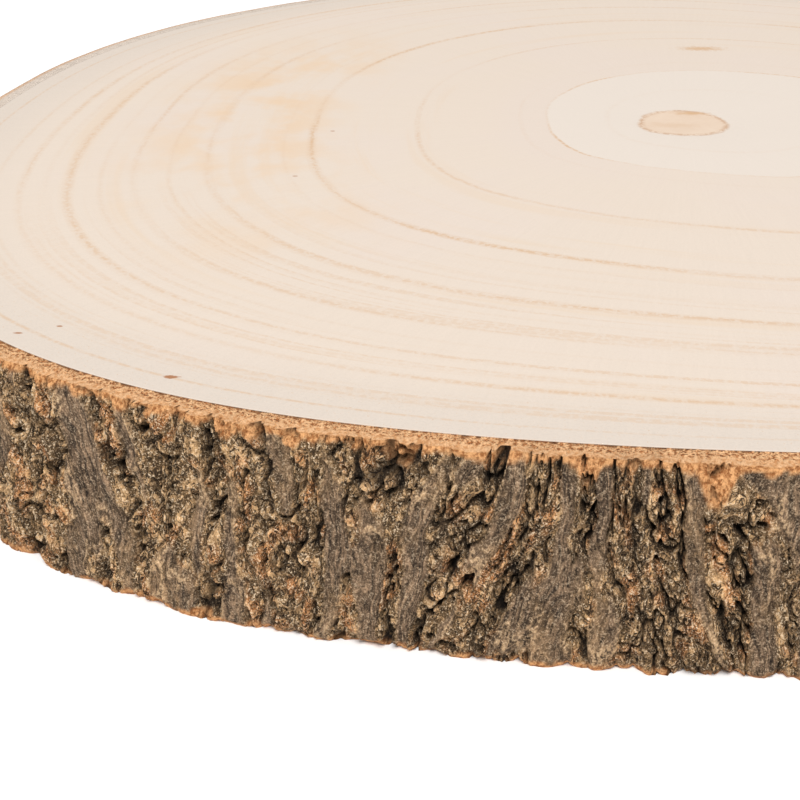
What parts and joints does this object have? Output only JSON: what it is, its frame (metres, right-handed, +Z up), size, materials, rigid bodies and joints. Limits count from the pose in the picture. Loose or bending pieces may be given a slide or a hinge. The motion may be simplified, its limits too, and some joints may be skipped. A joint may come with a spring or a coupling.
{
  "type": "wood slice",
  "caption": "Flat round slice of a tree trunk with pale ringed sawn faces and a furrowed bark edge, for use as a board, stand or base.",
  "frame": {"origin": "centre of the bounding box of the underside, on the surface that the slice rests on", "axes": "+Z up through the thickness, out of the top sawn face; the pith is off the origin, and -Y is the edge seen in the foreground"},
  "size_m": [0.2998, 0.301, 0.033],
  "materials": {
    "sawn_wood": "sawn across the grain and sanded, unvarnished, pale cream with thin tan growth rings",
    "bark": "rough dry bark, grey-brown ridges over orange-brown cork, matt"
  },
  "bodies": {
    "root": {"wood_slice": "sawn_wood"}
  },
  "joints": []
}
